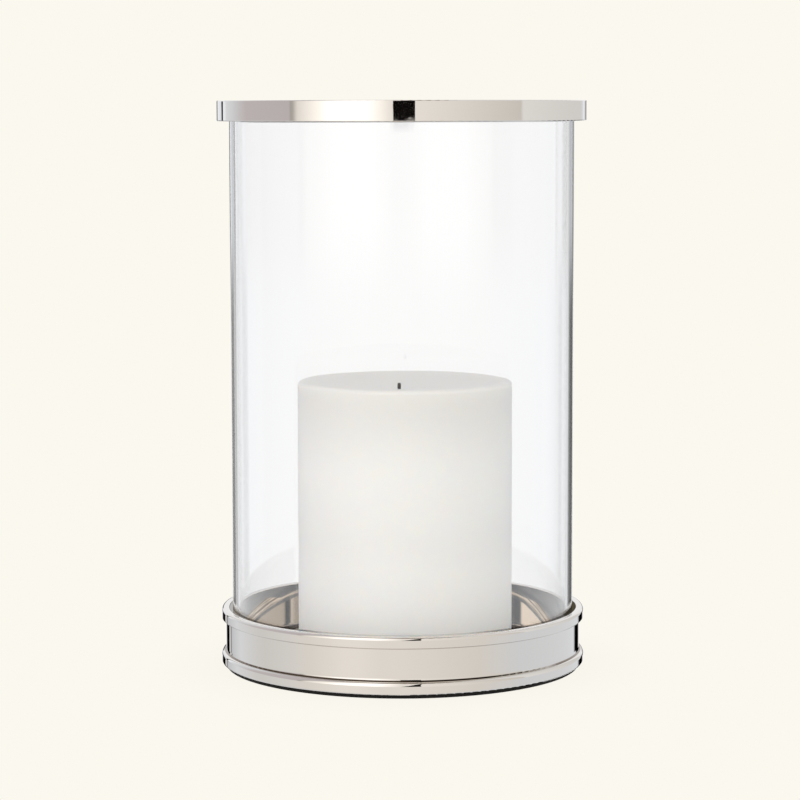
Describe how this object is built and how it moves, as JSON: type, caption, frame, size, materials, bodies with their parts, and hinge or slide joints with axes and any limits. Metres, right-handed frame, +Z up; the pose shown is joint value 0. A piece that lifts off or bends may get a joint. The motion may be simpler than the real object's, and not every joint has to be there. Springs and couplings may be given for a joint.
{
  "type": "hurricane candle lantern",
  "caption": "Clear glass cylinder with a bright metal rim, standing in a bright metal base that holds a wide pillar candle and shields its flame.",
  "frame": {"origin": "middle of the underside, on the table", "axes": "+Z up along the lantern's middle line; the front faces -Y and +X is to the right seen from the front"},
  "size_m": [0.136, 0.136, 0.21],
  "materials": {
    "plated_metal": "polished nickel plate, warm white, mirror bright",
    "felt": "dense black wool felt",
    "seat_felt": "dark brown-grey wool felt",
    "clear_rubber": "clear soft silicone",
    "glass": "clear, smooth, fire-polished edges",
    "wax": "white paraffin wax, satin, slightly translucent",
    "wick": "plaited cotton, charred at the tip",
    "tinplate": "thin tinned steel"
  },
  "bodies": {
    "base": {"base_body": "plated_metal", "foot_pad": "felt", "glass_cushion": "seat_felt"},
    "chimney": {"glass_cylinder": "glass", "top_rim": "plated_metal", "rim_bond": "clear_rubber"},
    "candle": {"candle_wax": "wax", "candle_wick": "wick", "wick_clip": "tinplate"}
  },
  "joints": [
    {"name": "glass_lift", "type": "slide", "parent": "base", "child": "chimney", "axis": [0, 0, 1], "range_m": [0, 0.12]},
    {"name": "candle_lift", "type": "slide", "parent": "base", "child": "candle", "axis": [0, 0, 1], "range_m": [0, 0.22]}
  ]
}
